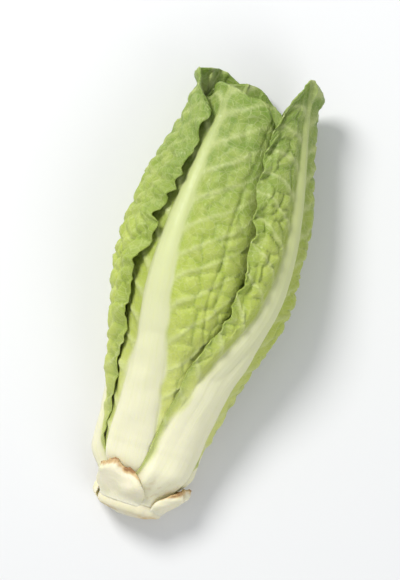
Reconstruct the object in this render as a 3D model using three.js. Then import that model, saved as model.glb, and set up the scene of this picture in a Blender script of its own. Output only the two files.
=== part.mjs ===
// A romaine lettuce heart, trimmed for sale and lying on its side.
//
// Frame: millimetres, +Z up. The cut butt faces -Y and the leaf tips point along +Y. The origin is
// on the surface that the heart lies on, under the middle of its length and width.
//
// A short tapering stem carries the leaves in a spiral, the oldest lowest and outermost. A leaf is a
// thick rib with a thin blade on each side. The leaves are laid from the innermost out: each one
// rests on the envelope of all that is already there, so they nest as on the plant and keep clear of
// each other. Round the butt are the stubs of leaves that were trimmed off.

import * as THREE from "three";

const { degToRad, smoothstep, clamp, lerp } = THREE.MathUtils;

// ---- Driving dimensions ------------------------------------------------------------------------

const HEAD_LENGTH = 232; // cut butt to the longest leaf tip
const WIDTH_STRETCH = 1.16; // the heart is flattened a little, wider than it is high
const HEIGHT_STRETCH = 0.9;
const TIP_CLOSING = 0.44; // how far the leaves draw together past their tips, as a share
const UNDERSIDE_FLAT = 0.84; // where the heart's weight flattens it, as a share of the radius

const STEM_LENGTH = 62;
const STEM_BUTT_RADIUS = 16;
const STEM_TIP_RADIUS = 3;

const LEAF_COUNT = 20;
const SPIRAL_ANGLE = degToRad(137.508); // the angle between one leaf and the next on the stem
const OUTERMOST_AZIMUTH = degToRad(60); // 0 is +X, 90 degrees is up

const LOWEST_LEAF = 6; // where the outermost leaf leaves the stem

const BLADE_THICKNESS = 0.8;
const LEAF_GAP_AT_BASE = 0.6; // clear space between a leaf and what it lies on
const LEAF_GAP_IN_BODY = 1.9;
const BODY_RADIUS = 36; // how far out the outermost leaf stands, even with nothing under it
const FOOT_SHARE = 0.09; // the part of a leaf's length in which its foot leaves the stem

const STUB_COUNT = 4;
const STUB_HALF_WIDTH = 11.5;
const STUB_THICKNESS = 2.8;

const ROW_CROWDING = 1.5; // a leaf's rows of faces crowd towards its foot
const BEARING_SHARE = 0.66; // the share of the length, from the butt, that bears on the surface
const PRESSED_DEPTH = 7; // the lowest part of the heart, which its own weight squeezes
const PRESSED_SHARE = 0.55; // how much of that depth is left
const RESTING_BAND = 0.95; // skin that ends up lower than this lies flat on the surface

const ENVELOPE_STEP = 2.5; // along the axis
const ENVELOPE_COLUMNS = 72; // round it

// ---- The heart's own space -----------------------------------------------------------------------
// A point is (along, azimuth, radius): along the axis from the butt, round it, and out from it.
// Geometry is made in this space, in its x, y and z, and carried into the frame once it is all laid.

/** How much the heart closes towards the tips of its leaves, as a share of the full radius. */
function closing(along) {
  return 1 - TIP_CLOSING * smoothstep(along, HEAD_LENGTH * 0.55, HEAD_LENGTH * 1.08) ** 1.2;
}

/** The share of the radius that is left where the underside is pressed flat. */
function flattening(azimuth) {
  const depth = -Math.sin(azimuth);
  if (depth <= 0) return 1;
  const flat = UNDERSIDE_FLAT / depth;
  return (1 + flat ** -9) ** (-1 / 9);
}

/** How far a point stands from the axis, sideways and upwards. */
function crossSection({ x: along, y: azimuth, z: radius }) {
  const reach = radius * closing(along) * flattening(azimuth);
  return {
    sideways: reach * Math.cos(azimuth) * WIDTH_STRETCH,
    upwards: reach * Math.sin(azimuth) * HEIGHT_STRETCH,
  };
}

const inHeart = (along, azimuth, radius) => new THREE.Vector3(along, azimuth, radius);

function stemRadius(along) {
  const share = clamp(along / STEM_LENGTH, 0, 1);
  return lerp(STEM_BUTT_RADIUS, STEM_TIP_RADIUS, share ** 0.85);
}

// ---- The envelope of what is already laid --------------------------------------------------------

class Envelope {
  constructor() {
    this.rows = Math.ceil(HEAD_LENGTH / ENVELOPE_STEP) + 3;
    this.radii = Array.from({ length: this.rows }, (_, row) =>
      new Float64Array(ENVELOPE_COLUMNS).fill(stemRadius(row * ENVELOPE_STEP)),
    );
  }

  /** The cell that holds a point, and where in the cell it lies. */
  locate(along, azimuth) {
    const row = clamp(along / ENVELOPE_STEP, 0, this.rows - 1.001);
    const turn = azimuth / (2 * Math.PI);
    const column = (turn - Math.floor(turn)) * ENVELOPE_COLUMNS;
    const [r, c] = [Math.floor(row), Math.floor(column) % ENVELOPE_COLUMNS];
    return { r, c, next: (c + 1) % ENVELOPE_COLUMNS, dr: row - r, dc: column - Math.floor(column) };
  }

  radius(along, azimuth) {
    const { r, c, next, dr, dc } = this.locate(along, azimuth);
    const low = lerp(this.radii[r][c], this.radii[r][next], dc);
    const high = lerp(this.radii[r + 1][c], this.radii[r + 1][next], dc);
    return lerp(low, high, dr);
  }

  raise(along, azimuth, radius) {
    const { r, c, next } = this.locate(along, azimuth);
    for (const row of [this.radii[r], this.radii[r + 1]]) {
      row[c] = Math.max(row[c], radius);
      row[next] = Math.max(row[next], radius);
    }
  }

  /** Replaces each cell by combine(its neighbours), over reach cells each way. */
  filtered(reachRows, reachColumns, combine) {
    const made = new Envelope();
    const old = this.radii;
    for (let r = 0; r < this.rows; r++) {
      for (let c = 0; c < ENVELOPE_COLUMNS; c++) {
        const near = [];
        for (let dr = -reachRows; dr <= reachRows; dr++) {
          for (let dc = -reachColumns; dc <= reachColumns; dc++) {
            const row = clamp(r + dr, 0, this.rows - 1);
            near.push(old[row][(c + dc + ENVELOPE_COLUMNS) % ENVELOPE_COLUMNS]);
          }
        }
        made.radii[r][c] = combine(near);
      }
    }
    return made;
  }

  /** A smooth surface that lies nowhere inside this one. */
  draped() {
    const widened = this.filtered(2, 3, (near) => Math.max(...near));
    const mean = (near) => near.reduce((sum, value) => sum + value, 0) / near.length;
    return widened.filtered(1, 2, mean).filtered(1, 1, mean);
  }
}

// ---- Leaves ------------------------------------------------------------------------------------------

// How full the blade is on each side of the rib, from the outermost leaf in.
const BLADE_SIDES = [
  [1, 0.46],
  [0.9, 1],
  [1, 0.85],
  [0.95, 0.6],
  [1, 0.95],
];

/** What the plant gave the leaf at this place in the spiral, 0 being the innermost. */
function leafPlan(place) {
  const age = place / (LEAF_COUNT - 1);
  const fromOutside = LEAF_COUNT - 1 - place;
  const stagger = 0.022 * ((place * 2) % 5);
  return {
    azimuth: OUTERMOST_AZIMUTH + fromOutside * SPIRAL_ANGLE,
    drift: degToRad([-32, 8, -6, 10][fromOutside] ?? 0), // how far its tip leans round the heart
    attach: LOWEST_LEAF + 34 * (1 - age) ** 1.2,
    tip: HEAD_LENGTH * (0.58 + 0.42 * age ** 0.5) * (fromOutside ? 1 - stagger * age : 1),
    sides: BLADE_SIDES[fromOutside % BLADE_SIDES.length],
    stand: 2 + (BODY_RADIUS - 2) * age,
    halfWidth: 17 + 35 * age ** 0.8,
    ribHalfWidth: lerp(8, 14, age),
    ribTipHalfWidth: lerp(2, 3, age),
    ribThickness: lerp(1.6, 4.2, age),
    columns: age > 0.6 ? 14 : 10,
    rows: age > 0.6 ? 16 : 12,
  };
}

function ribHalfWidth(leaf, share) {
  return lerp(leaf.ribHalfWidth, leaf.ribTipHalfWidth, share ** 0.9);
}

/**
 * The leaf's width on one side of its midline: only rib at the foot, broadest past the middle.
 * side is -1 or 1, and the two sides of a leaf are seldom alike.
 */
function leafHalfWidth(leaf, side, share) {
  const fullness = leaf.sides[side < 0 ? 0 : 1];
  const spread = smoothstep(share, 0.02, 0.72) ** 0.8;
  const rounded = Math.sqrt(1 - (Math.max(0, share - 0.76) / 0.31) ** 2);
  const blade = (leaf.halfWidth * fullness - ribHalfWidth(leaf, share)) * spread * rounded;
  return ribHalfWidth(leaf, share) + 1 + Math.max(0, blade);
}

/** Rib and blade together: a broad low ridge on the outside of a thin sheet. */
function leafThickness(leaf, across, share) {
  const offset = Math.abs(across) * leafHalfWidth(leaf, across, share);
  const ridge = Math.max(0, 1 - (offset / ribHalfWidth(leaf, share)) ** 2) ** 0.8;
  const height = lerp(leaf.ribThickness, 0.9, share ** 0.8);
  const foot = 0.5 + 0.5 * smoothstep(share, 0, FOOT_SHARE);
  return (BLADE_THICKNESS + height * ridge) * foot;
}

/** The point of a leaf's inner skin, in the heart's own space. across is -1 to 1, share 0 to 1. */
function leafPoint(leaf, ground, across, share) {
  const corner = 0.085 * across ** 2 * smoothstep(share, 0.45, 1);
  const along = lerp(leaf.attach, leaf.tip, share - corner);
  const middle = leaf.azimuth + leaf.drift * Math.sin((Math.PI / 2) * Math.min(1, share / 0.65));
  const stand = leaf.stand * smoothstep(along, 0, HEAD_LENGTH * 0.55);
  const underneath = (azimuth) => Math.max(ground.radius(along, azimuth), stand);
  const girth = (underneath(middle) + 2) * closing(along);
  const azimuth = middle + clamp((across * leafHalfWidth(leaf, across, share)) / girth, -1.9, 1.9);
  const gap = lerp(LEAF_GAP_AT_BASE, LEAF_GAP_IN_BODY, smoothstep(share, 0.05, 0.5));
  const foot = stemRadius(along) + LEAF_GAP_AT_BASE;
  const radius = lerp(foot, underneath(azimuth) + gap, smoothstep(share, 0, FOOT_SHARE / 2));
  return inHeart(along, azimuth, radius);
}

/**
 * Bends a flat blank into shape. place(across, share, outside) gives each corner's new position.
 * Azimuth runs against the blank's X once Z points out of the heart, so across is -X.
 */
function bentBlank(columns, rows, place) {
  const blank = new THREE.BoxGeometry(2, 1, 1, columns, rows, 1);
  const corners = blank.attributes.position;
  for (let i = 0; i < corners.count; i++) {
    const share = (corners.getY(i) + 0.5) ** ROW_CROWDING;
    const made = place(-corners.getX(i), share, corners.getZ(i) > 0);
    corners.setXYZ(i, made.x, made.y, made.z);
  }
  return blank;
}

function layLeaf(leaf, envelope) {
  const ground = envelope.draped();
  const blank = bentBlank(leaf.columns, leaf.rows, (across, share, outside) => {
    const point = leafPoint(leaf, ground, across, share);
    if (outside) point.z += leafThickness(leaf, across, share);
    return point;
  });
  const [columns, rows] = [72, 96];
  for (let i = 0; i <= columns; i++) {
    for (let j = 0; j <= rows; j++) {
      const [across, share] = [(2 * i) / columns - 1, j / rows];
      const { x: along, y: azimuth, z: radius } = leafPoint(leaf, ground, across, share);
      envelope.raise(along, azimuth, radius + leafThickness(leaf, across, share));
    }
  }
  return blank;
}

// ---- Stubs of trimmed leaves -----------------------------------------------------------------------

function stubPlan(place) {
  const strayed = degToRad([0, -24, 0, 0][place]); // how far it grew from its place in the spiral
  return {
    azimuth: OUTERMOST_AZIMUTH - (place + 1) * SPIRAL_ANGLE + strayed,
    attach: LOWEST_LEAF - 1.6 * place,
    top: [15, 24, 19, 14][place],
  };
}

function layStub(stub, envelope) {
  const ground = envelope.draped();
  const place = (across, share, outside) => {
    const along = lerp(stub.attach, stub.top - 3 * across ** 2, share);
    const girth = ground.radius(along, stub.azimuth);
    const azimuth = stub.azimuth + (across * STUB_HALF_WIDTH * (1 - 0.15 * share)) / girth;
    const thickness = STUB_THICKNESS * (1 - 0.3 * across ** 2);
    const bearing = lerp(stemRadius(along), ground.radius(along, azimuth), smoothstep(share, 0, 0.25));
    return inHeart(along, azimuth, bearing + LEAF_GAP_AT_BASE + (outside ? thickness : 0));
  };
  for (let i = 0; i <= 48; i++) {
    for (let j = 0; j <= 16; j++) {
      const { x: along, y: azimuth, z: radius } = place(i / 24 - 1, j / 16, true);
      envelope.raise(along, azimuth, radius);
    }
  }
  return bentBlank(8, 3, place);
}

// ---- Stem ----------------------------------------------------------------------------------------------

function stemGeometry() {
  const outline = [new THREE.Vector2(0, 0)];
  const steps = 12;
  for (let i = 0; i <= steps; i++) {
    const along = (STEM_LENGTH * i) / steps;
    outline.push(new THREE.Vector2(stemRadius(along), along));
  }
  outline.push(new THREE.Vector2(0, STEM_LENGTH + STEM_TIP_RADIUS));
  const turned = new THREE.LatheGeometry(outline, 32);
  const corners = turned.attributes.position;
  for (let i = 0; i < corners.count; i++) {
    const [x, along, z] = [corners.getX(i), corners.getY(i), corners.getZ(i)];
    corners.setXYZ(i, along, Math.atan2(z, x), Math.hypot(x, z));
  }
  return turned;
}

// ---- The heart -------------------------------------------------------------------------------------------

/** A name by ring, counted from the outside in, as a cook would strip the heart. */
function leafName(fromOutside) {
  const rings = [
    ["outer_leaf", 5],
    ["middle_leaf", 6],
    ["inner_leaf", 5],
    ["heart_leaf", 4],
  ];
  let count = fromOutside;
  for (const [ring, size] of rings) {
    if (count < size) return `${ring}_${count + 1}`;
    count -= size;
  }
}

const LEAF_COLOURS = { outer: 0xb9c877, middle: 0xc3d07c, inner: 0xd3db8e, heart: 0xe3e4a4 };

function matte(colour) {
  return new THREE.MeshStandardMaterial({ color: colour, roughness: 0.55, metalness: 0 });
}

function named(name, geometry, material) {
  const mesh = new THREE.Mesh(geometry, material);
  mesh.name = name;
  return mesh;
}

/** Moves every corner of every piece to where move(point) says. */
function moveCorners(group, move) {
  for (const { geometry } of group.children) {
    const corners = geometry.attributes.position;
    for (let i = 0; i < corners.count; i++) {
      const made = move(new THREE.Vector3().fromBufferAttribute(corners, i));
      corners.setXYZ(i, made.x, made.y, made.z);
    }
  }
}

/** How far the finished heart reaches below its axis, all round this place along it. */
function depthBelowAxis(envelope, along) {
  const [reach, step, peaking] = [18, 3, 12];
  const steps = (2 * reach) / step + 1;
  let sum = 0;
  for (let i = 0; i < steps; i++) {
    const place = clamp(along - reach + i * step, 0, HEAD_LENGTH * BEARING_SHARE);
    let deepest = 0;
    for (let column = 0; column < ENVELOPE_COLUMNS; column++) {
      const azimuth = (2 * Math.PI * column) / ENVELOPE_COLUMNS;
      const point = inHeart(place, azimuth, envelope.radius(place, azimuth));
      deepest = Math.max(deepest, -crossSection(point).upwards);
    }
    sum += deepest ** peaking;
  }
  return (sum / steps) ** (1 / peaking);
}

/** Lays the heart down on its side, in the frame, with its middle over the origin. */
function setDown(group, envelope) {
  moveCorners(group, (point) => {
    const { sideways, upwards } = crossSection(point);
    const height = depthBelowAxis(envelope, point.x) + upwards;
    const pressed = PRESSED_DEPTH - (PRESSED_DEPTH - height) * PRESSED_SHARE;
    return new THREE.Vector3(sideways, point.x, Math.max(height, pressed));
  });
  const box = new THREE.Box3().setFromObject(group);
  const middle = box.getCenter(new THREE.Vector3());
  moveCorners(group, (point) => {
    const height = point.z - box.min.z;
    return new THREE.Vector3(
      point.x - middle.x,
      point.y - middle.y,
      height < RESTING_BAND ? 0 : height,
    );
  });
}

const heart = new THREE.Group();
heart.name = "romaine_heart";
heart.add(named("stem", stemGeometry(), matte(0xe4dcb4)));

const envelope = new Envelope();
for (let place = 0; place < LEAF_COUNT; place++) {
  const name = leafName(LEAF_COUNT - 1 - place);
  const colour = LEAF_COLOURS[name.split("_")[0]];
  heart.add(named(name, layLeaf(leafPlan(place), envelope), matte(colour)));
}
for (let place = 0; place < STUB_COUNT; place++) {
  const name = `cut_stub_${place + 1}`;
  heart.add(named(name, layStub(stubPlan(place), envelope), matte(0xddd2ab)));
}

setDown(heart, envelope);

export default heart;
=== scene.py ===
"""The looks of a trimmed romaine lettuce heart, lying on its side.

The leaves are laid from the innermost out, each on the envelope of all that is already there, as in
the construction model, but with their crinkled blades, veins, ruffled margins and torn stubs.
Sizes are in millimetres until a mesh is written, and in metres from there on.
"""

import logging
import math
from dataclasses import dataclass, field
from enum import Enum

import bpy
import numpy as np
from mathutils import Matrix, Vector


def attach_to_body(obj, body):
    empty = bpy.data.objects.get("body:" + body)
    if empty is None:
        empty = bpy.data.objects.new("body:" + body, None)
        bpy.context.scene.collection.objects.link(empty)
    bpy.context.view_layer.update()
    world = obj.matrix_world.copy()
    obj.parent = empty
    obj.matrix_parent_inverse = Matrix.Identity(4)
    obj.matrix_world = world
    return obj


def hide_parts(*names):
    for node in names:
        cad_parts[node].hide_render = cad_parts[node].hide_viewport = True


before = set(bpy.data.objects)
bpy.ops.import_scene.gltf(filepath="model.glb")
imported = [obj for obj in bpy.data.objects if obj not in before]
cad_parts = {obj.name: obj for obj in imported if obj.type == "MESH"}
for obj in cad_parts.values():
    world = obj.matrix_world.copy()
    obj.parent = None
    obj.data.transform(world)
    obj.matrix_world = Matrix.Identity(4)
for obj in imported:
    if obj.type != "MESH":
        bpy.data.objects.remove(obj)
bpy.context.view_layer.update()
log = logging.getLogger("romaine_heart")

METRES = 0.001
Colour = tuple[float, float, float]


# ---- Small mathematics ------------------------------------------------------------------------------


def smooth(value, low: float, high: float):
    """Rises smoothly from 0 at low to 1 at high.

    Args:
        value: A number or an array.
        low: Where the rise starts.
        high: Where the rise ends.

    Returns:
        The risen value, in the shape of value.
    """
    share = np.clip((value - low) / (high - low), 0.0, 1.0)
    return share * share * (3.0 - 2.0 * share)


def mix(low, high, share):
    """Returns the value that lies share of the way from low to high."""
    return low + (high - low) * share


def scattered(column: np.ndarray, row: np.ndarray, seed: float) -> np.ndarray:
    """Returns a fixed random number from 0 to 1 for each cell of a lattice."""
    mixed = np.sin(column * 127.1 + row * 311.7 + seed * 74.7) * 43758.5453
    return mixed - np.floor(mixed)


def wander(x: np.ndarray, y: np.ndarray, seed: float) -> np.ndarray:
    """A smooth random field with a bump or a dip about once a unit.

    Args:
        x: First coordinate.
        y: Second coordinate.
        seed: Picks the field.

    Returns:
        Values from -1 to 1.
    """
    column, row = np.floor(x), np.floor(y)
    across, along = smooth(x - column, 0.0, 1.0), smooth(y - row, 0.0, 1.0)
    low = mix(scattered(column, row, seed), scattered(column + 1, row, seed), across)
    high = mix(scattered(column, row + 1, seed), scattered(column + 1, row + 1, seed), across)
    return 2.0 * mix(low, high, along) - 1.0


def cell_walls(x: np.ndarray, y: np.ndarray, seed: float) -> np.ndarray:
    """How far each point stands from the walls of a random network of cells about a unit wide.

    Args:
        x: First coordinate.
        y: Second coordinate.
        seed: Picks the network.

    Returns:
        0 on a wall, rising to about 1 in the middle of a cell.
    """
    column, row = np.floor(x), np.floor(y)
    nearest = np.full(np.shape(x), 9.0)
    second = nearest.copy()
    for right in (-1, 0, 1):
        for up in (-1, 0, 1):
            centre_x = column + right + 0.15 + 0.7 * scattered(column + right, row + up, seed)
            centre_y = row + up + 0.15 + 0.7 * scattered(column + right, row + up, seed + 9.3)
            distance = np.hypot(x - centre_x, y - centre_y)
            second = np.minimum(second, np.maximum(nearest, distance))
            nearest = np.minimum(nearest, distance)
    return np.clip(second - nearest, 0.0, 1.0)


def linear(red: int, green: int, blue: int) -> Colour:
    """Returns a screen colour, given from 0 to 255, as linear light."""
    return tuple(((part / 255 + 0.055) / 1.055) ** 2.4 for part in (red, green, blue))


# ---- The heart's own space ----------------------------------------------------------------------------


@dataclass(frozen=True)
class HeadShape:
    """The outline of the whole heart, in (along the axis, azimuth round it, radius out from it)."""

    length: float = 232.0
    width_stretch: float = 1.16
    height_stretch: float = 0.9
    tip_closing: float = 0.44
    underside_flat: float = 0.84
    stem_length: float = 62.0
    stem_butt_radius: float = 16.0
    stem_tip_radius: float = 3.0
    bearing_share: float = 0.66
    pressed_depth: float = 7.0
    pressed_share: float = 0.55

    def closing(self, along):
        """Returns how much of the radius is left as the leaves draw together towards their tips."""
        return 1 - self.tip_closing * smooth(along, self.length * 0.55, self.length * 1.08) ** 1.2

    def flattening(self, azimuth):
        """Returns the share of the radius that is left where the underside is pressed flat."""
        depth = np.maximum(-np.sin(azimuth), 1e-3)
        return (1 + (self.underside_flat / depth) ** -9.0) ** (-1 / 9)

    def stem_radius(self, along):
        """Returns the radius of the stem at this place along it."""
        share = np.clip(along / self.stem_length, 0.0, 1.0)
        return mix(self.stem_butt_radius, self.stem_tip_radius, share**0.85)

    def rounding(self, along):
        """Returns how far the butt's rim is rounded in, as a share of the radius."""
        return 0.72 + 0.28 * np.sqrt(1 - (1 - np.clip(along / 5.0, 0, 1)) ** 2)

    def section(self, points: np.ndarray) -> tuple[np.ndarray, np.ndarray]:
        """Returns how far points stand from the axis, sideways and upwards."""
        along, azimuth, radius = points[..., 0], points[..., 1], points[..., 2]
        reach = radius * self.closing(along) * self.flattening(azimuth)
        sideways = reach * np.cos(azimuth) * self.width_stretch
        return sideways, reach * np.sin(azimuth) * self.height_stretch


SHAPE = HeadShape()


class Envelope:
    """The outermost radius of all that is laid, on a grid along the axis and round it."""

    STEP = 1.5
    COLUMNS = 144

    def __init__(self, radii: np.ndarray | None = None) -> None:
        """Starts from the bare stem, or from given radii.

        Args:
            radii: Rows along the axis by columns round it.
        """
        rows = math.ceil(SHAPE.length / self.STEP) + 3
        if radii is None:
            bare = SHAPE.stem_radius(np.arange(rows) * self.STEP)
            radii = np.repeat(bare[:, None], self.COLUMNS, axis=1)
        self.radii = radii

    def locate(self, along: np.ndarray, azimuth: np.ndarray) -> tuple[np.ndarray, ...]:
        """Returns the cell of each point, the next column, and where in the cell the point lies."""
        row = np.clip(along / self.STEP, 0, self.radii.shape[0] - 1.001)
        column = (azimuth / (2 * math.pi) % 1.0) * self.COLUMNS
        r, c = np.floor(row).astype(int), np.floor(column).astype(int) % self.COLUMNS
        return r, c, (c + 1) % self.COLUMNS, row - r, column - np.floor(column)

    def at(self, along: np.ndarray, azimuth: np.ndarray) -> np.ndarray:
        """Returns the envelope's radius at each point."""
        r, c, following, up, right = self.locate(along, azimuth)
        low = mix(self.radii[r, c], self.radii[r, following], right)
        high = mix(self.radii[r + 1, c], self.radii[r + 1, following], right)
        return mix(low, high, up)

    def raise_to(self, points: np.ndarray) -> None:
        """Lifts the envelope so that these points lie on it or inside it."""
        r, c, following, _, _ = self.locate(points[..., 0], points[..., 1])
        for row, column in ((r, c), (r, following), (r + 1, c), (r + 1, following)):
            np.maximum.at(self.radii, (row, column), points[..., 2])

    def filtered(self, rows: int, columns: int, widest: bool) -> "Envelope":
        """Replaces each cell by the largest or the mean of its neighbours.

        Args:
            rows: How many rows away the neighbours reach.
            columns: How many columns away they reach.
            widest: Take the largest, and otherwise the mean.

        Returns:
            A new envelope.
        """
        height = self.radii.shape[0]
        stacked = []
        for up in range(-rows, rows + 1):
            shifted = self.radii[np.clip(np.arange(height) + up, 0, height - 1)]
            stacked += [np.roll(shifted, turn, axis=1) for turn in range(-columns, columns + 1)]
        return Envelope(np.max(stacked, axis=0) if widest else np.mean(stacked, axis=0))

    def draped(self) -> "Envelope":
        """Returns a smooth surface that lies nowhere inside this one."""
        return self.filtered(3, 3, True).filtered(2, 2, False).filtered(1, 1, False)


class Bed:
    """How the finished heart lies on the surface: carries points into the frame."""

    def __init__(self, envelope: Envelope) -> None:
        """Measures the heart's depth below its axis all along it.

        Args:
            envelope: All that was laid.
        """
        self.stations = np.arange(-30.0, SHAPE.length + 30.0, 3.0)
        azimuths = np.linspace(0, 2 * math.pi, 73)[:-1]
        places = np.clip(self.stations, 0, SHAPE.length * SHAPE.bearing_share)
        along, azimuth = np.meshgrid(places, azimuths, indexing="ij")
        points = np.stack([along, azimuth, envelope.at(along, azimuth)], axis=-1)
        deepest = np.max(-SHAPE.section(points)[1], axis=1)
        padded = np.pad(deepest, 6, mode="edge") ** 12
        self.depths = np.convolve(padded, np.full(13, 1 / 13), mode="valid") ** (1 / 12)
        self.shift = np.zeros(3)

    def place(self, points: np.ndarray) -> np.ndarray:
        """Returns points of the heart's space in the frame, in millimetres, pressed at the bottom."""
        sideways = SHAPE.section(points)[0]
        placed = np.stack([sideways, points[..., 0], self.raw_height(points)], axis=-1) - self.shift
        placed[..., 2] = np.maximum(placed[..., 2], 0.0)
        return placed

    def centre(self, skins: list[np.ndarray], sink: float) -> None:
        """Sets the heart on the surface with the middle of its box over the origin.

        Args:
            skins: The outer skins of all pieces, in the heart's space.
            sink: How much of the lowest skin the heart's weight flattens.
        """
        corners = np.concatenate([self.place(skin).reshape(-1, 3) for skin in skins])
        low, high = corners.min(axis=0), corners.max(axis=0)
        self.shift = np.array([(low[0] + high[0]) / 2, (low[1] + high[1]) / 2, 0.0])
        heights = np.concatenate([self.raw_height(skin).reshape(-1) for skin in skins])
        self.shift[2] = heights.min() + sink

    def raw_height(self, points: np.ndarray) -> np.ndarray:
        """Returns the height of points before the heart is set on the surface."""
        height = np.interp(points[..., 0], self.stations, self.depths) + SHAPE.section(points)[1]
        pressed = SHAPE.pressed_depth - (SHAPE.pressed_depth - height) * SHAPE.pressed_share
        return np.maximum(height, pressed)


# ---- Leaves -----------------------------------------------------------------------------------------------


class Ring(Enum):
    """The rings of leaves from the outside in: name, count, grid columns and grid rows."""

    OUTER = ("outer_leaf", 5, 128, 192)
    MIDDLE = ("middle_leaf", 6, 84, 120)
    INNER = ("inner_leaf", 5, 48, 80)
    HEART = ("heart_leaf", 4, 36, 60)

    @property
    def slot(self) -> str:
        """The material slot of this ring's leaves."""
        return self.value[0]

    @property
    def count(self) -> int:
        """How many leaves the ring has."""
        return self.value[1]


LEAF_COUNT = sum(ring.count for ring in Ring)
SPIRAL_ANGLE = math.radians(137.508)
OUTERMOST_AZIMUTH = math.radians(60)
BLADE_SIDES = ((1, 0.46), (0.9, 1), (1, 0.85), (0.95, 0.6), (1, 0.95))
TIP_DRIFTS = (-32, 8, -6, 10)


def ring_place(from_outside: int) -> tuple[Ring, int]:
    """Returns the ring of a leaf counted from the outside, and its number in the ring from 1."""
    count = from_outside
    for ring in Ring:
        if count < ring.count:
            return ring, count + 1
        count -= ring.count
    raise ValueError(f"there is no leaf {from_outside}")


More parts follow.
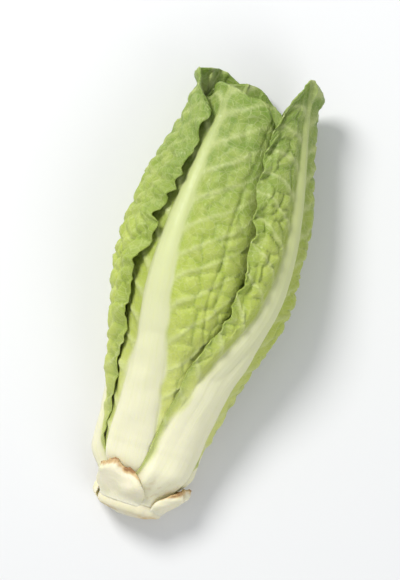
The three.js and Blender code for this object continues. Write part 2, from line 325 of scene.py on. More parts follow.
@dataclass
class Leaf:
    """One leaf: a broad rib that carries a thin crinkled blade on each side."""

    place: int
    blade_thickness: float = 0.7
    gap_at_base: float = 0.45
    gap_in_body: float = 1.1
    body_radius: float = 36.0
    foot_share: float = 0.09
    vein_spacing: float = 14.0
    blister_width: float = 8.5
    blister_height: float = 2.1
    ruffle_height: float = 4.2
    name: str = field(init=False)
    ring: Ring = field(init=False)

    def __post_init__(self) -> None:
        """Works out what the plant gave the leaf at its place in the spiral."""
        self.from_outside = LEAF_COUNT - 1 - self.place
        self.ring, number = ring_place(self.from_outside)
        self.name = f"{self.ring.slot}_{number}"
        self.age = self.place / (LEAF_COUNT - 1)
        age, outside = self.age, self.from_outside
        self.azimuth = OUTERMOST_AZIMUTH + outside * SPIRAL_ANGLE
        self.drift = math.radians(TIP_DRIFTS[outside] if outside < len(TIP_DRIFTS) else 0)
        self.attach = 6 + 34 * (1 - age) ** 1.2
        stagger = 1 - 0.022 * ((self.place * 2) % 5) * age if outside else 1
        self.tip = SHAPE.length * (0.58 + 0.42 * age**0.5) * stagger
        self.sides = BLADE_SIDES[outside % len(BLADE_SIDES)]
        self.stand = 2 + (self.body_radius - 2) * age
        self.half_width = 17 + 35 * age**0.8
        self.seed = 3.7 * self.place + 1.3

    def rib_half_width(self, share: np.ndarray) -> np.ndarray:
        """Returns half the rib's width, which narrows from foot to tip."""
        return mix(mix(8, 14, self.age), mix(1, 1.6, self.age), share**0.85)

    def half_width_at(self, across: np.ndarray, share: np.ndarray) -> np.ndarray:
        """Returns the leaf's width on one side of its midline, with a wavy margin."""
        fullness = np.where(across < 0, self.sides[0], self.sides[1])
        spread = smooth(share, 0.02, 0.72) ** 0.8
        rounded = np.sqrt(1 - (np.maximum(0, share - 0.76) / 0.31) ** 2)
        rib = self.rib_half_width(share)
        blade = np.maximum(0, (self.half_width * fullness - rib) * spread * rounded)
        side = np.where(across < 0, 0.0, 50.0)
        mark = share * (self.tip - self.attach)
        lobes = 0.07 * wander(mark / 19, side, self.seed) + 0.035 * wander(mark / 6, side, self.seed + 5)
        return rib + 1 + blade * (1 + lobes)

    def grid(self, columns: int, rows: int) -> tuple[np.ndarray, np.ndarray]:
        """Returns across and share for a grid of points, rows crowded towards the foot."""
        across = np.linspace(-1, 1, columns + 1)
        share = np.linspace(0, 1, rows + 1) ** 1.15
        return np.meshgrid(across, share, indexing="xy")

    def base(
        self, ground: Envelope, snug: Envelope, across: np.ndarray, share: np.ndarray
    ) -> np.ndarray:
        """Where the leaf's inner skin lies on what is under it.

        Args:
            ground: The draped envelope under the leaf.
            snug: The closer envelope that its margins cling to.
            across: From -1 at one margin to 1 at the other.
            share: From 0 at the foot to 1 at the tip.

        Returns:
            Points in the heart's space.
        """
        corner = 0.085 * across**2 * smooth(share, 0.45, 1)
        notch = 0.012 * wander(across * 4, np.zeros_like(across), self.seed + 2) * smooth(share, 0.8, 1)
        along = mix(self.attach, self.tip, share - corner + notch)
        middle = self.azimuth + self.drift * np.sin(math.pi / 2 * np.minimum(1, share / 0.65))
        stand = self.stand * smooth(along, 0, SHAPE.length * 0.55)
        girth = np.maximum(ground.at(along, middle), stand) + 2
        turn = across * self.half_width_at(across, share) / (girth * SHAPE.closing(along))
        azimuth = middle + np.clip(turn, -1.9, 1.9)
        gap = mix(self.gap_at_base, self.gap_in_body, smooth(share, 0.05, 0.5))
        foot = SHAPE.stem_radius(along) + 0.15
        to_margin = (1 - np.abs(across)) * self.half_width_at(across, share)
        clinging = (1 - smooth(to_margin, 0.3, 6)) * (1 - smooth(share, 0.82, 1))
        under = mix(ground.at(along, azimuth), snug.at(along, azimuth), clinging)
        lying = np.maximum(under, stand * (1 - 0.25 * clinging)) + mix(gap, -0.25, clinging)
        radius = mix(foot, lying, smooth(share, 0, self.foot_share / 2))
        return np.stack([along, azimuth, radius], axis=-1)

    def relief(self, across: np.ndarray, share: np.ndarray, freedom: np.ndarray) -> dict[str, np.ndarray]:
        """How the outer skin rises above the inner one, and the masks that the finish follows.

        Args:
            across: From -1 at one margin to 1 at the other.
            share: From 0 at the foot to 1 at the tip.
            freedom: 1 where nothing lies on the leaf, and less where other leaves cover it.

        Returns:
            The height of the outer skin, the thickness of tissue, and the masks by name.
        """
        half = self.half_width_at(across, share)
        side_mark = across * half
        offset = np.abs(side_mark)
        mark = share * (self.tip - self.attach)
        rib = self.rib_half_width(share)
        x = offset / rib
        ridge = np.maximum(0, 1 - x**2.4) ** 0.9
        rib_height = mix(mix(1.6, 4.4, self.age), 1.0, share**0.8)
        foot = 0.12 + 0.88 * smooth(share, 0, self.foot_share)
        grooves = 0.16 * wander(side_mark / 1.7, mark / 60, self.seed + 11) * smooth(share, 0.02, 0.1)
        blade = smooth(offset - rib, 0.5, 7)
        slant = mark - 0.8 * (offset - rib) - 0.012 * (offset - rib) ** 2
        bend = 2.2 * wander(side_mark / 11, mark / 14, self.seed + 21)
        lane = (slant + bend) / self.vein_spacing + np.where(across < 0, 0.37, 0.0)
        to_vein = np.abs(lane - np.round(lane)) * self.vein_spacing
        beyond = offset - rib
        taper = mix(1.0, 0.35, np.clip(beyond / 38, 0, 1)) + 1.3 * np.exp(-np.maximum(beyond, 0) / 3.5)
        vein = np.exp(-((to_vein / (1.15 * taper)) ** 2)) * smooth(beyond, -2.5, 0.5)
        stray = 3.0 * wander(mark / 13, side_mark / 13, self.seed + 23)
        lengthwise, sideways = mark - 0.25 * offset + stray, side_mark + stray
        walls = cell_walls(lengthwise / self.blister_width, sideways / self.blister_width, self.seed)
        small = cell_walls(slant / 3.6 + bend * 0.2, side_mark / 3.3, self.seed + 4)
        puff = 1 - np.exp(-walls / 0.24)
        crinkle = mix(0.25, 1.0, smooth(share, 0.08, 0.5)) * blade
        swell = 0.5 + 0.5 * wander(side_mark / 24, mark / 27, self.seed + 31)
        fold = np.maximum(0, 1 - np.abs(wander(slant / 26, side_mark / 15, self.seed + 41)) * 5.5) ** 2
        margin = smooth(np.abs(across), 0.68, 1.0)
        tip_margin = smooth(share, 0.9, 1.0)
        frill = np.maximum(margin * smooth(share, 0.25, 0.6), tip_margin)
        phase = 2 * math.pi * (mark / 21 + 0.45 * wander(mark / 24, np.sign(across) * 7, self.seed + 51))
        ruffle = 0.5 + 0.5 * np.sin(phase + 2.2 * across)
        ripple = 0.5 + 0.5 * wander(mark / 5.5, side_mark / 9, self.seed + 61)
        free = mix(0.15, 1.0, freedom)
        rise = (
            self.blister_height * puff * crinkle * free
            + 0.35 * (1 - np.exp(-small / 0.3)) * crinkle * free
            + 2.6 * swell * blade * free * smooth(share, 0.1, 0.4) * (1 - 0.7 * margin)
            - 1.6 * fold * crinkle * free
            + 0.75 * vein * np.minimum(taper, 1.2) * smooth(beyond, 0, 2)
            + (self.ruffle_height * ruffle + 1.3 * ripple) * frill * freedom
        )
        tissue = self.blade_thickness * foot + rib_height * ridge * foot
        return {
            "height": tissue + grooves * ridge + np.maximum(rise, -0.3),
            "tissue": tissue,
            "rib": (1 - smooth(x + 0.1 * wander(mark / 9, side_mark / 3, self.seed + 71), 0.84, 1.16))
            * (1 - 0.6 * smooth(share, 0.75, 1.0)),
            "vein": np.clip(vein * mix(0.85, 0.45, np.clip(offset / 45, 0, 1)), 0, 1),
            # The puff mask is low in the valleys between blisters and in folds; the finish paints shade
            # there.
            "puff": np.clip(puff * (1 - 0.7 * fold), 0, 1) * blade + (1 - blade),
            "share": share,
            "margin": np.maximum(margin, tip_margin),
        }

    def lay(self, envelope: Envelope, cover: np.ndarray | None) -> dict[str, np.ndarray]:
        """Lays the leaf on the envelope, and adds it there.

        Args:
            envelope: All that is already laid. It is raised.
            cover: 1 where later leaves cover this one, on the envelope's grid, or None for a plain leaf.

        Returns:
            The skin's points in the heart's space, with the relief's masks.
        """
        ground, snug = envelope.draped(), envelope.filtered(1, 1, False)
        _, _, columns, rows = self.ring.value
        across, share = self.grid(columns, rows)
        points = self.base(ground, snug, across, share)
        covered = np.ones_like(share) if cover is None else Envelope(cover).at(points[..., 0], points[..., 1])
        relief = self.relief(across, share, 1 - covered)
        points[..., 2] += relief["height"]
        envelope.raise_to(points)
        relief["skin"] = points
        relief["side_mark"] = across * self.half_width_at(across, share)
        relief["mark"] = share * (self.tip - self.attach)
        return relief


@dataclass
class Stub:
    """The base of an outer leaf that was trimmed off, with its torn and browned edge."""

    number: int
    azimuth: float
    attach: float
    top: float
    half_width: float = 12.5
    thickness: float = 4.4
    columns: int = 56
    rows: int = 40

    @property
    def name(self) -> str:
        """The stub's node."""
        return f"cut_stub_{self.number}"

    def lay(self, envelope: Envelope) -> dict[str, np.ndarray]:
        """Lays the stub on the envelope, and adds it there.

        Args:
            envelope: All that is already laid. It is raised.

        Returns:
            The skin's points in the heart's space, with the masks that the finish follows.
        """
        ground = envelope.filtered(1, 1, True).filtered(1, 2, False)
        seed = 17.0 * self.number
        across, share = np.meshgrid(np.linspace(-1, 1, self.columns + 1), np.linspace(0, 1, self.rows + 1))
        level = np.zeros_like(across)
        torn = 1.8 * wander(across * 2.3, level, seed) + 0.8 * wander(across * 8, level, seed + 1)
        torn = torn + 0.35 * wander(across * 21, level, seed + 4)
        along = mix(self.attach, self.top - 5.5 * across**2 + torn, share)
        girth = ground.at(along, np.full_like(along, self.azimuth))
        azimuth = self.azimuth + across * self.half_width * (1 - 0.15 * share) / girth
        crown = (1 - np.abs(across) ** 2.4) ** 0.6
        body = 0.5 + self.thickness * crown * (1 - 0.72 * smooth(share, 0.7, 1))
        body = body * smooth(share, -0.05, 0.5)
        foot = SHAPE.stem_radius(along) * SHAPE.rounding(along)
        bearing = mix(foot, ground.at(along, azimuth), smooth(share, 0, 0.35))
        lumps = 0.6 * wander(across * 3, share * 2.4, seed + 2) * smooth(share, 0.1, 0.3) * crown
        radius = bearing + body + lumps + 0.2 * smooth(share, 0, 0.3)
        points = np.stack([along, azimuth, radius], axis=-1)
        envelope.raise_to(points)
        ragged = 0.5 + 0.5 * wander(across * 4, share * 2.5, seed + 3)
        edge = smooth(share, 0.78, 1.0) * (0.35 + 0.65 * ragged)
        side = 0.6 * smooth(np.abs(across), 0.92, 1.0) * smooth(share, 0.5, 0.9) * ragged
        return {
            "skin": points,
            "tissue": body,
            "browned": np.clip(np.maximum(edge, side), 0, 1),
            "side_mark": across * self.half_width,
            "mark": share * (self.top - self.attach),
        }


@dataclass
class Stem:
    """The short tapering stem, with its cut butt."""

    name: str = "stem"
    segments: int = 160
    rings: int = 120
    face_share: float = 0.4

    def lay(self, polar: np.ndarray, azimuth: np.ndarray) -> dict[str, np.ndarray]:
        """Shapes a ball's points into the stem.

        Args:
            polar: From 0 at the middle of the cut face to 1 at the stem's tip.
            azimuth: Round the axis.

        Returns:
            The points in the heart's space, with the masks that the finish follows.
        """
        face = np.clip(polar / self.face_share, 0, 1)
        along = SHAPE.stem_length * np.clip((polar - self.face_share) / (1 - self.face_share), 0, 1) ** 1.3
        near_butt = 1 - smooth(along, 2, 12)
        x, y = np.cos(azimuth) * 2.2, np.sin(azimuth) * 2.2
        lobes = 1 + near_butt * (0.05 * wander(x + 9, y + 9, 4.0) + 0.025 * wander(2.6 * x, 2.6 * y, 8.0))
        radius = SHAPE.stem_radius(along) * lobes * SHAPE.rounding(along)
        radius = radius * np.where(polar < self.face_share, face, 1.0)
        radius = radius * np.where(polar >= 1.0, 0.0, 1.0)
        on_face = (polar < self.face_share).astype(float)
        cut = 0.7 * wander(x * face * 1.3 + 3, y * face * 1.3 + 3, 12.0) + 1.8
        along = np.where(polar < self.face_share, -cut * (1 - face**3), along)
        ring = np.exp(-(((face - 0.72) / 0.09) ** 2)) * on_face
        rim_mask = smooth(face, 0.45, 1.0) * (1 - smooth(along, 0.2, 2.5))
        patch = 0.5 + 0.5 * wander(x * 1.4 + 20, y * 1.4 + 20, 15.0)
        return {
            "skin": np.stack([along, azimuth, np.maximum(radius, 0.0)], axis=-1),
            "browned": np.clip((0.12 * on_face + 0.6 * rim_mask) * patch**1.5 + 0.25 * ring * patch, 0, 1),
        }


# ---- From arrays to meshes -------------------------------------------------------------------------------


def activate(piece: bpy.types.Object) -> None:
    """Makes this piece the only selected object."""
    bpy.ops.object.select_all(action="DESELECT")
    piece.select_set(True)
    bpy.context.view_layer.objects.active = piece


def write_masks(mesh: bpy.types.Mesh, masks: dict[str, np.ndarray]) -> None:
    """Stores each mask as an attribute of the mesh's points."""
    for name, values in masks.items():
        layer = mesh.attributes.new(name, "FLOAT", "POINT")
        layer.data.foreach_set("value", np.ascontiguousarray(values.reshape(-1), dtype=np.float32))


def write_map(mesh: bpy.types.Mesh, name: str, across: np.ndarray, along: np.ndarray) -> None:
    """Stores a map that runs across and along the piece, a unit to every 100 mm.

    Args:
        mesh: The mesh to map.
        name: The map's name.
        across: For each point, in millimetres.
        along: For each point, in millimetres.
    """
    corners = np.empty(len(mesh.loops), dtype=np.int64)
    mesh.loops.foreach_get("vertex_index", corners)
    flat = np.stack([across.reshape(-1)[corners], along.reshape(-1)[corners]], axis=-1) / 100.0
    layer = mesh.uv_layers.new(name=name)
    layer.data.foreach_set("uv", flat.astype(np.float32).reshape(-1))


def sheet_piece(name: str, laid: dict[str, np.ndarray], bed: Bed, masks: tuple[str, ...]) -> bpy.types.Object:
    """Shapes a grid into a laid sheet of tissue, and gives it its thickness.

    Args:
        name: The piece's name.
        laid: The skin, its tissue and its masks, as rows by columns.
        bed: Carries the skin into the frame.
        masks: Which masks the finish reads.

    Returns:
        The finished closed piece.
    """
    rows, columns = laid["tissue"].shape
    bpy.ops.object.select_all(action="DESELECT")
    bpy.ops.mesh.primitive_grid_add(x_subdivisions=columns - 1, y_subdivisions=rows - 1, size=1)
    piece = bpy.context.active_object
    piece.name = piece.data.name = name
    mesh = piece.data
    while mesh.uv_layers:
        mesh.uv_layers.remove(mesh.uv_layers[0])
    skin = bed.place(laid["skin"]) * METRES
    mesh.vertices.foreach_set("co", skin.astype(np.float32).reshape(-1))
    write_masks(mesh, {mask: laid[mask] for mask in masks})
    write_map(mesh, "tissue_map", laid["side_mark"], laid["mark"])
    mesh.update()
    face_outwards(piece, laid["skin"], skin)
    deepest = float(laid["tissue"].max())
    group = piece.vertex_groups.new(name="tissue")
    shares = (laid["tissue"] / deepest).reshape(-1)
    for level in np.unique(np.round(shares, 2)):
        chosen = np.flatnonzero(np.round(shares, 2) == level)
        group.add([int(i) for i in chosen], float(max(level, 0.05)), "REPLACE")
    activate(piece)
    wall = piece.modifiers.new("wall", "SOLIDIFY")
    wall.thickness = deepest * METRES
    wall.offset = -1
    wall.vertex_group = "tissue"
    bpy.ops.object.modifier_apply(modifier="wall")
    piece.vertex_groups.clear()
    bpy.ops.object.shade_smooth()
    return piece


def face_outwards(piece: bpy.types.Object, skin: np.ndarray, placed: np.ndarray) -> None:
    """Turns a sheet's faces over if they point into the heart.

    Args:
        piece: The sheet.
        skin: Its points in the heart's space.
        placed: Its points in the frame.
    """
    middle = skin.shape[0] // 2, skin.shape[1] // 2
    out = np.array([np.cos(skin[middle][1]), 0.0, np.sin(skin[middle][1])])
    normals = np.empty(len(piece.data.polygons) * 3)
    piece.data.polygons.foreach_get("normal", normals)
    centres = np.empty(len(piece.data.polygons) * 3)
    piece.data.polygons.foreach_get("center", centres)
    distance = np.linalg.norm(centres.reshape(-1, 3) - placed[middle], axis=1)
    if normals.reshape(-1, 3)[np.argmin(distance)] @ out < 0:
        piece.data.flip_normals()


def stem_piece(stem: Stem, bed: Bed) -> bpy.types.Object:
    """Shapes a ball into the stem.

    Args:
        stem: The stem's sizes.
        bed: Carries it into the frame.

    Returns:
        The finished closed piece.
    """
    bpy.ops.object.select_all(action="DESELECT")
    bpy.ops.mesh.primitive_uv_sphere_add(segments=stem.segments, ring_count=stem.rings, radius=1)
    piece = bpy.context.active_object
    piece.name = piece.data.name = stem.name
    mesh = piece.data
    corners = np.empty(len(mesh.vertices) * 3)
    mesh.vertices.foreach_get("co", corners)
    x, y, z = corners.reshape(-1, 3).T
    polar = 1 - np.arccos(np.clip(z, -1, 1)) / math.pi
    laid = stem.lay(polar, np.arctan2(y, x))
    placed = bed.place(laid["skin"]) * METRES
    mesh.vertices.foreach_set("co", placed.astype(np.float32).reshape(-1))
    write_masks(mesh, {"browned": laid["browned"]})
    while mesh.uv_layers:
        mesh.uv_layers.remove(mesh.uv_layers[0])
    write_map(mesh, "tissue_map", placed[:, 0] * 1000, placed[:, 2] * 1000)
    mesh.update()
    activate(piece)
    bpy.ops.object.mode_set(mode="EDIT")
    bpy.ops.mesh.select_all(action="SELECT")
    bpy.ops.mesh.normals_make_consistent(inside=False)
    bpy.ops.object.mode_set(mode="OBJECT")
    bpy.ops.object.shade_smooth()
    return piece


# ---- Shared effects, as node groups -----------------------------------------------------------------------


def socket(group: bpy.types.NodeTree, name: str, kind: str, out: bool = False, value=None) -> None:
    """Adds a named socket to a node group.

    Args:
        group: The group.
        name: The socket's name.
        kind: Float, Color or Vector.
        out: Whether it is an output.
        value: Its default, if it has one.
    """
    made = group.interface.new_socket(
        name=name, in_out="OUTPUT" if out else "INPUT", socket_type=f"NodeSocket{kind}"
    )
    if value is not None:
        made.default_value = value


class Wiring:
    """Short ways to add and join nodes in one tree."""

    def __init__(self, tree: bpy.types.NodeTree) -> None:
        """Keeps the tree."""
        self.tree = tree

    def node(self, kind: str, **settings) -> bpy.types.Node:
        """Adds a node of a kind, such as TexNoise, with its settings."""
        made = self.tree.nodes.new(f"ShaderNode{kind}")
        for name, value in settings.items():
            setattr(made, name, value)
        return made

    def ends(self) -> tuple[bpy.types.Node, bpy.types.Node]:
        """Adds and returns a group's own input and output nodes."""
        return self.tree.nodes.new("NodeGroupInput"), self.tree.nodes.new("NodeGroupOutput")

    def join(self, source, target) -> None:
        """Links an output to an input, or sets the input to a plain value."""
        if isinstance(source, bpy.types.NodeSocket):
            self.tree.links.new(source, target)
        else:
            target.default_value = source

    def maths(self, operation: str, first, second=0.0, clamp: bool = False) -> bpy.types.NodeSocket:
        """Returns the result of a Math node on two values or sockets."""
        made = self.node("Math", operation=operation, use_clamp=clamp)
        self.join(first, made.inputs[0])
        self.join(second, made.inputs[1])
        return made.outputs[0]

    def ranged(self, value, low, high, to_low=0.0, to_high=1.0) -> bpy.types.NodeSocket:
        """Returns a value carried smoothly from one range to another."""
        made = self.node("MapRange", interpolation_type="SMOOTHSTEP")
        for source, target in zip((value, low, high, to_low, to_high), made.inputs):
            self.join(source, target)
        return made.outputs[0]

    def blend(self, share, low, high) -> bpy.types.NodeSocket:
        """Returns a colour that lies share of the way from low to high."""
        made = self.node("Mix", data_type="RGBA")
        self.join(share, made.inputs[0])
        self.join(low, made.inputs[6])
        self.join(high, made.inputs[7])
        return made.outputs[2]

    def noise(self, place, scale, detail=3.0, roughness=0.55) -> bpy.types.NodeSocket:
        """Returns a noise value at a place."""
        made = self.node("TexNoise")
        self.join(place, made.inputs["Vector"])
        self.join(scale, made.inputs["Scale"])
        made.inputs["Detail"].default_value = detail
        made.inputs["Roughness"].default_value = roughness
        return made.outputs["Fac"]

    def mask(self, name: str) -> bpy.types.NodeSocket:
        """Returns an attribute of the mesh."""
        return self.node("Attribute", attribute_name=name).outputs["Fac"]

    def stretched(self, place, scale: tuple[float, float, float]) -> bpy.types.NodeSocket:
        """Returns a place with each axis scaled."""
        made = self.node("Mapping")
        self.join(place, made.inputs["Vector"])
        made.inputs["Scale"].default_value = scale
        return made.outputs[0]


def new_group(name: str) -> tuple[bpy.types.NodeTree, Wiring]:
    """Returns an empty shader node group and its wiring."""
    group = bpy.data.node_groups.new(name, "ShaderNodeTree")
    return group, Wiring(group)


def fine_veins() -> bpy.types.NodeTree:
    """Builds the net of fine veins that fills a blade between its lateral veins."""
    group, wiring = new_group("fine_veins")
    socket(group, "Place", "Vector")
    socket(group, "Scale", "Float", value=40.0)
    socket(group, "Width", "Float", value=0.08)
    socket(group, "Net", "Float", out=True)
    inputs, outputs = wiring.ends()
    bent = wiring.node("VectorMath", operation="MULTIPLY_ADD")
    shift = wiring.node("TexNoise")
    shift.inputs["Scale"].default_value = 22.0
    wiring.join(inputs.outputs["Place"], shift.inputs["Vector"])
    wiring.join(shift.outputs["Color"], bent.inputs[0])
    bent.inputs[1].default_value = (0.02, 0.02, 0.0)
    wiring.join(inputs.outputs["Place"], bent.inputs[2])
    cells = wiring.node("TexVoronoi", feature="DISTANCE_TO_EDGE")
    wiring.join(bent.outputs[0], cells.inputs["Vector"])
    wiring.join(inputs.outputs["Scale"], cells.inputs["Scale"])
    net = wiring.ranged(cells.outputs["Distance"], 0.0, inputs.outputs["Width"], 1.0, 0.0)
    wiring.join(net, outputs.inputs["Net"])
    return group


def rib_streaks() -> bpy.types.NodeTree:
    """Builds the fine lengthwise streaks of a rib."""
    group, wiring = new_group("rib_streaks")
    socket(group, "Place", "Vector")
    socket(group, "Streaks", "Float", out=True)
    inputs, outputs = wiring.ends()
    place = wiring.stretched(inputs.outputs["Place"], (90.0, 3.0, 1.0))
    coarse = wiring.noise(place, 1.0, 2.0)
    fine = wiring.noise(wiring.stretched(inputs.outputs["Place"], (260.0, 6.0, 1.0)), 1.0, 2.0)
    both = wiring.maths("ADD", wiring.maths("MULTIPLY", coarse, 0.65), wiring.maths("MULTIPLY", fine, 0.35))
    wiring.join(both, outputs.inputs["Streaks"])
    return group


def blemishes() -> bpy.types.NodeTree:
    """Builds sparse small brown specks and bruises."""
    group, wiring = new_group("blemishes")
    socket(group, "Place", "Vector")
    socket(group, "Scale", "Float", value=30.0)
    socket(group, "Amount", "Float", value=0.5)
    socket(group, "Specks", "Float", out=True)
    inputs, outputs = wiring.ends()
    spots = wiring.node("TexVoronoi", feature="F1")
    wiring.join(inputs.outputs["Place"], spots.inputs["Vector"])
    wiring.join(inputs.outputs["Scale"], spots.inputs["Scale"])
    dot = wiring.ranged(spots.outputs["Distance"], 0.02, 0.12, 1.0, 0.0)
    where = wiring.ranged(wiring.noise(inputs.outputs["Place"], 9.0, 2.0), 0.55, 0.75)
    wiring.join(
        wiring.maths("MULTIPLY", wiring.maths("MULTIPLY", dot, where), inputs.outputs["Amount"], clamp=True),
        outputs.inputs["Specks"],
    )
    return group


@dataclass(frozen=True)
class Effects:
    """The shared node groups."""

    veins: bpy.types.NodeTree
    streaks: bpy.types.NodeTree
    specks: bpy.types.NodeTree

    def placed(self, wiring: Wiring, group: bpy.types.NodeTree, **values) -> bpy.types.NodeSocket:
        """Places a group in a material and returns its only output."""
        made = wiring.node("Group", node_tree=group)
        for name, value in values.items():
            wiring.join(value, made.inputs[name])
        return made.outputs[0]


# ---- Finishes ----------------------------------------------------------------------------------------------


def new_material(name: str) -> tuple[bpy.types.Material, Wiring, bpy.types.Node]:
    """Makes an empty material, and returns it with the wiring of its nodes and its shader."""
    made = bpy.data.materials.new(name)
    made.use_nodes = True
    return made, Wiring(made.node_tree), made.node_tree.nodes["Principled BSDF"]


def emboss(
    wiring: Wiring, shader: bpy.types.Node, relief: bpy.types.NodeSocket, strength: float, depth: float
) -> None:
    """Raises the surface of a material by a relief, as a bump of a depth in metres."""
    bump = wiring.node("Bump")
    bump.inputs["Strength"].default_value = strength
    bump.inputs["Distance"].default_value = depth
    wiring.join(relief, bump.inputs["Height"])
    wiring.join(bump.outputs[0], shader.inputs["Normal"])


DRIED = linear(196, 158, 100)
BRUISED = linear(150, 112, 62)


@dataclass(frozen=True)
class LeafFinish:
    """Waxy leaf: a cream rib, pale veins and a green blade that is yellower towards the foot, with painted
    crease shade.
    """

    name: str
    rib_foot: Colour
    rib_tip: Colour
    blade_foot: Colour
    blade_middle: Colour
    blade_tip: Colour
    margin: Colour
    vein: Colour
    roughness: float = 0.42
    subsurface: float = 0.18

    def material(self, effects: Effects) -> bpy.types.Material:
        """Builds the material.

        Args:
            effects: The shared node groups.

        Returns:
            The material.
        """
        made, wiring, shader = new_material(self.name)
        place = wiring.node("UVMap", uv_map="tissue_map").outputs["UV"]
        share, rib, vein = wiring.mask("share"), wiring.mask("rib"), wiring.mask("vein")
        puff, margin = wiring.mask("puff"), wiring.mask("margin")

        blade = wiring.blend(
            wiring.ranged(share, 0.12, 0.5), (*self.blade_foot, 1), (*self.blade_middle, 1)
        )
        blade = wiring.blend(wiring.ranged(share, 0.45, 0.95), blade, (*self.blade_tip, 1))
        mottle = wiring.ranged(wiring.noise(place, 14.0, 5.0), 0.3, 0.7)
        blade = wiring.blend(wiring.maths("MULTIPLY", mottle, 0.3), blade, (*self.blade_foot, 1))
        blade = wiring.blend(wiring.maths("MULTIPLY", margin, 0.45), blade, (*self.margin, 1))
        # Painted shade: the blade darkens towards the margin green where the puff mask is low, in the valleys
        # between blisters and in folds.
        painted_crease_shade = wiring.ranged(puff, 0.0, 0.55, 0.38, 0.0)
        blade = wiring.blend(painted_crease_shade, blade, (*self.margin, 1))
        net = effects.placed(wiring, effects.veins, Place=place, Scale=34.0, Width=0.09)
        fine = effects.placed(wiring, effects.veins, Place=place, Scale=95.0, Width=0.1)
        seen = wiring.maths("MAXIMUM", net, wiring.maths("MULTIPLY", fine, 0.35))
        blade = wiring.blend(wiring.maths("MULTIPLY", seen, 0.3), blade, (*self.vein, 1))
        blade = wiring.blend(wiring.maths("MULTIPLY", vein, 0.72), blade, (*self.vein, 1))

        streaks = effects.placed(wiring, effects.streaks, Place=place)
        stalk = wiring.blend(wiring.ranged(share, 0.05, 0.85), (*self.rib_foot, 1), (*self.rib_tip, 1))
        stalk = wiring.blend(wiring.ranged(streaks, 0.45, 0.75, 0.0, 0.22), stalk, (*self.blade_foot, 1))
        colour = wiring.blend(rib, blade, stalk)
        near_cut = wiring.ranged(share, 0.01, 0.09, 0.5, 0.0)
        dried = wiring.maths("MULTIPLY", near_cut, wiring.ranged(wiring.noise(place, 26.0, 5.0), 0.48, 0.66))
        colour = wiring.blend(dried, colour, (*DRIED, 1))
        specks = effects.placed(wiring, effects.specks, Place=place, Scale=26.0, Amount=0.45)
        colour = wiring.blend(specks, colour, (*BRUISED, 1))
        wiring.join(colour, shader.inputs["Base Color"])

        wax = wiring.noise(place, 60.0, 3.0)
        rough = wiring.ranged(wax, 0.3, 0.7, self.roughness - 0.06, self.roughness + 0.1)
        wiring.join(rough, shader.inputs["Roughness"])
        grain = wiring.noise(place, 220.0, 3.0)
        not_rib = wiring.maths("SUBTRACT", 1.0, rib, clamp=True)
        not_rib = wiring.maths("MULTIPLY", not_rib, wiring.ranged(share, 0.05, 0.4, 0.3, 1.0))
        nets = wiring.maths("ADD", wiring.maths("MULTIPLY", net, 0.8), fine)
        relief = wiring.maths("MULTIPLY", nets, not_rib)
        relief = wiring.maths("ADD", relief, wiring.maths("MULTIPLY", grain, 0.35))
        on_rib = wiring.maths("MULTIPLY", streaks, rib)
        relief = wiring.maths("ADD", relief, wiring.maths("MULTIPLY", on_rib, 1.4))
        emboss(wiring, shader, relief, 0.55, 0.0003)
        shader.inputs["Subsurface Weight"].default_value = self.subsurface
        shader.inputs["Subsurface Radius"].default_value = (1.0, 1.1, 0.35)
        shader.inputs["Subsurface Scale"].default_value = 0.0025
        shader.inputs["IOR"].default_value = 1.42
        return made


@dataclass(frozen=True)
class CutFinish:
    """Bare stem tissue: cream, moist, with tan and rust-brown where the air has browned it."""

    name: str
    flesh: Colour
    green: Colour
    tan: Colour
    rust: Colour
    roughness: float = 0.5

    def material(self, effects: Effects) -> bpy.types.Material:
        """Builds the material.

        Args:
            effects: The shared node groups.

        Returns:
            The material.
        """
        made, wiring, shader = new_material(self.name)
        place = wiring.node("TexCoord").outputs["Object"]
        browned = wiring.mask("browned")
        mottle = wiring.noise(place, 180.0, 5.0, 0.65)
        colour = wiring.blend(wiring.ranged(mottle, 0.4, 0.75, 0.0, 0.4), (*self.flesh, 1), (*self.green, 1))
        patch = wiring.maths("MULTIPLY", browned, wiring.ranged(mottle, 0.25, 0.6, 0.35, 1.25), clamp=True)
        colour = wiring.blend(wiring.ranged(patch, 0.08, 0.6, 0.0, 0.8), colour, (*self.tan, 1))
        colour = wiring.blend(wiring.ranged(patch, 0.6, 1.0, 0.0, 0.8), colour, (*self.rust, 1))
        specks = effects.placed(wiring, effects.specks, Place=place, Scale=300.0, Amount=0.8)
        colour = wiring.blend(specks, colour, (*self.rust, 1))
        wiring.join(colour, shader.inputs["Base Color"])
        rough = wiring.ranged(patch, 0.0, 1.0, self.roughness, self.roughness + 0.25)
        wiring.join(rough, shader.inputs["Roughness"])
        fibres = wiring.noise(wiring.stretched(place, (1.0, 0.35, 1.0)), 900.0, 4.0)
        relief = wiring.maths("ADD", fibres, wiring.maths("MULTIPLY", mottle, 1.5))
        emboss(wiring, shader, relief, 0.6, 0.0004)
        shader.inputs["Subsurface Weight"].default_value = 0.2
        shader.inputs["Subsurface Radius"].default_value = (1.0, 0.8, 0.4)
        shader.inputs["Subsurface Scale"].default_value = 0.003
        return made
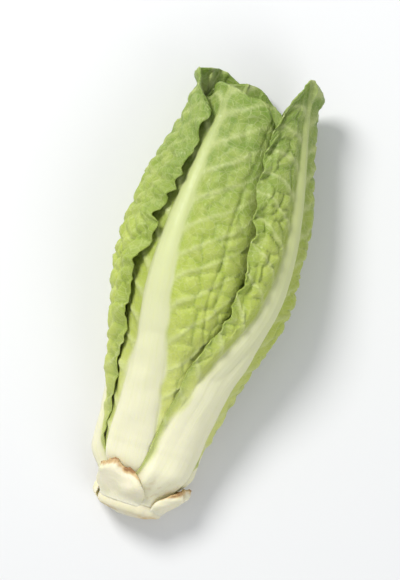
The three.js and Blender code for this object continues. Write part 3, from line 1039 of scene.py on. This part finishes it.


# Each ring's colours in the finish's order: the rib's foot and tip, the blade's foot, middle and tip, its
# margin (also the colour of the painted shade in blister valleys and folds), and its veins.
LEAF_PALETTES = {
    Ring.OUTER: (
        (232, 228, 196), (190, 199, 132), (208, 213, 122), (176, 192, 76),
        (120, 146, 58), (112, 140, 46), (204, 211, 148),
    ),
    Ring.MIDDLE: (
        (234, 230, 200), (206, 210, 152), (212, 216, 132), (180, 198, 84),
        (138, 164, 66), (128, 158, 56), (214, 218, 156),
    ),
    Ring.INNER: (
        (236, 232, 204), (220, 222, 166), (222, 222, 146), (204, 212, 108),
        (176, 194, 84), (164, 186, 76), (226, 226, 172),
    ),
    Ring.HEART: (
        (238, 234, 208), (232, 230, 182), (232, 228, 162), (224, 222, 134),
        (208, 212, 110), (200, 206, 100), (234, 232, 188),
    ),
}
LEAF_FINISHES = {
    ring: LeafFinish(f"{ring.slot}_tissue", *(linear(*colour) for colour in palette))
    for ring, palette in LEAF_PALETTES.items()
}
STEM_FINISH = CutFinish(
    name="cut_stem_tissue",
    flesh=linear(230, 222, 190),
    green=linear(214, 214, 160),
    tan=linear(206, 172, 112),
    rust=linear(150, 98, 58),
)
STUB_FINISH = CutFinish(
    name="torn_stub_tissue",
    flesh=linear(234, 227, 198),
    green=linear(214, 216, 158),
    tan=linear(204, 166, 104),
    rust=linear(142, 92, 52),
)


# ---- The heart ---------------------------------------------------------------------------------------------


class Heart:
    """The whole heart: lays every piece, then builds and dresses them."""

    STUB_STRAYS = (0, -24, 0, 0)
    STUB_TOPS = (15, 24, 19, 14)
    LEAF_MASKS = ("rib", "vein", "puff", "share", "margin")

    def __init__(self) -> None:
        """Makes the plans of all pieces."""
        self.leaves = [Leaf(place) for place in range(LEAF_COUNT)]
        self.stubs = [
            Stub(
                number=place + 1,
                azimuth=OUTERMOST_AZIMUTH - (place + 1) * SPIRAL_ANGLE + math.radians(stray),
                attach=6 - 1.6 * place,
                top=top,
            )
            for place, (stray, top) in enumerate(zip(self.STUB_STRAYS, self.STUB_TOPS))
        ]
        self.stem = Stem()
        self.effects = Effects(fine_veins(), rib_streaks(), blemishes())

    def covers(self) -> list[np.ndarray]:
        """Lays plain leaves to see how much of each one the later ones cover."""
        envelope = Envelope()
        footprints = []
        for leaf in self.leaves:
            laid = leaf.lay(envelope, None)
            footprint = Envelope(np.zeros_like(envelope.radii))
            ones = laid["skin"].copy()
            ones[..., 2] = 1.0
            footprint.raise_to(ones)
            footprints.append(footprint.radii)
        covers = []
        above = np.zeros_like(envelope.radii)
        for footprint in reversed(footprints):
            covers.append(Envelope(above).filtered(2, 3, False).radii)
            above = np.maximum(above, footprint)
        return covers[::-1]

    def build(self) -> list[bpy.types.Object]:
        """Lays, builds and dresses every piece.

        Returns:
            The pieces.
        """
        envelope = Envelope()
        laid_leaves = [leaf.lay(envelope, cover) for leaf, cover in zip(self.leaves, self.covers())]
        laid_stubs = [stub.lay(envelope) for stub in self.stubs]
        bed = Bed(envelope)
        bed.centre([laid["skin"] for laid in laid_leaves + laid_stubs], sink=0.9)
        pieces = [self.dressed(stem_piece(self.stem, bed), "stem", STEM_FINISH)]
        finishes = {ring: finish.material(self.effects) for ring, finish in LEAF_FINISHES.items()}
        for leaf, laid in zip(self.leaves, laid_leaves):
            piece = sheet_piece(f"{leaf.name}_tissue", laid, bed, self.LEAF_MASKS)
            piece.data.materials.append(finishes[leaf.ring])
            pieces.append(self.taken_up(piece, leaf.name))
        torn = STUB_FINISH.material(self.effects)
        for stub, laid in zip(self.stubs, laid_stubs):
            piece = sheet_piece(f"{stub.name}_tissue", laid, bed, ("browned",))
            piece.data.materials.append(torn)
            pieces.append(self.taken_up(piece, stub.name))
        return pieces

    def dressed(self, piece: bpy.types.Object, node: str, finish: CutFinish) -> bpy.types.Object:
        """Gives a piece its finish and its place in the frame."""
        piece.name = piece.data.name = f"{node}_tissue"
        piece.data.materials.append(finish.material(self.effects))
        return self.taken_up(piece, node)

    def taken_up(self, piece: bpy.types.Object, node: str) -> bpy.types.Object:
        """Attaches a piece to the root body and hides the construction part of the node that it stands for.
        """
        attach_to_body(piece, "root")
        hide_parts(node)
        log.info("%s: %d faces", piece.name, len(piece.data.polygons))
        return piece


# ---- The studio -------------------------------------------------------------------------------------------


@dataclass
class Studio:
    """A pale floor, soft light, and a camera that looks straight down on the heart."""

    lean: float = math.radians(17.5)
    frame_height: float = 0.285
    distance: float = 1.3
    floor_size: float = 6.0

    def floor(self) -> None:
        """Lays the floor under the heart."""
        bpy.ops.object.select_all(action="DESELECT")
        bpy.ops.mesh.primitive_plane_add(size=self.floor_size, location=(0, 0, -0.0002))
        floor = bpy.context.active_object
        floor.name = "studio_floor"
        material, _, shader = new_material("studio_floor")
        shader.inputs["Base Color"].default_value = (0.78, 0.78, 0.77, 1)
        shader.inputs["Roughness"].default_value = 0.85
        floor.data.materials.append(material)

    def lamp(self, name: str, place: tuple[float, float, float], size: float, power: float) -> None:
        """Hangs a soft lamp that points at the heart."""
        lamp = bpy.data.lights.new(name, "AREA")
        lamp.shape = "DISK"
        lamp.size = size
        lamp.energy = power
        holder = bpy.data.objects.new(name, lamp)
        bpy.context.collection.objects.link(holder)
        holder.location = place
        holder.rotation_euler = (-Vector(place)).to_track_quat("-Z", "Y").to_euler()

    def light(self) -> None:
        """Lights the heart from the upper left, with a weak fill and an even surround."""
        self.lamp("key", (-0.75, 0.55, 1.05), 0.5, 16.5)
        self.lamp("fill", (0.9, -0.5, 0.9), 0.9, 4.5)
        world = bpy.data.worlds.new("surround")
        bpy.context.scene.world = world
        world.use_nodes = True
        world.node_tree.nodes["Background"].inputs[0].default_value = (0.92, 0.95, 1.0, 1)
        world.node_tree.nodes["Background"].inputs[1].default_value = 0.52

    def camera(self) -> None:
        """Sets the camera, turned so that the heart leans to the right, butt down."""
        camera = bpy.data.cameras.new("camera")
        camera.sensor_fit = "VERTICAL"
        camera.sensor_height = 24.0
        camera.lens = camera.sensor_height * (self.distance - 0.04) / self.frame_height
        holder = bpy.data.objects.new("camera", camera)
        bpy.context.collection.objects.link(holder)
        holder.location = (0.0, 0.0, self.distance)
        holder.rotation_euler = (0.0, 0.0, self.lean)
        bpy.context.scene.camera = holder
        bpy.context.scene.view_settings.view_transform = "Standard"


def main() -> None:
    """Builds the heart, then the studio round it."""
    logging.basicConfig(level=logging.INFO, format="%(name)s: %(message)s")
    heart = Heart()
    pieces = heart.build()
    log.info("%d pieces", len(pieces))
    studio = Studio()
    studio.floor()
    studio.light()
    studio.camera()


if __name__ == "__main__":
    main()
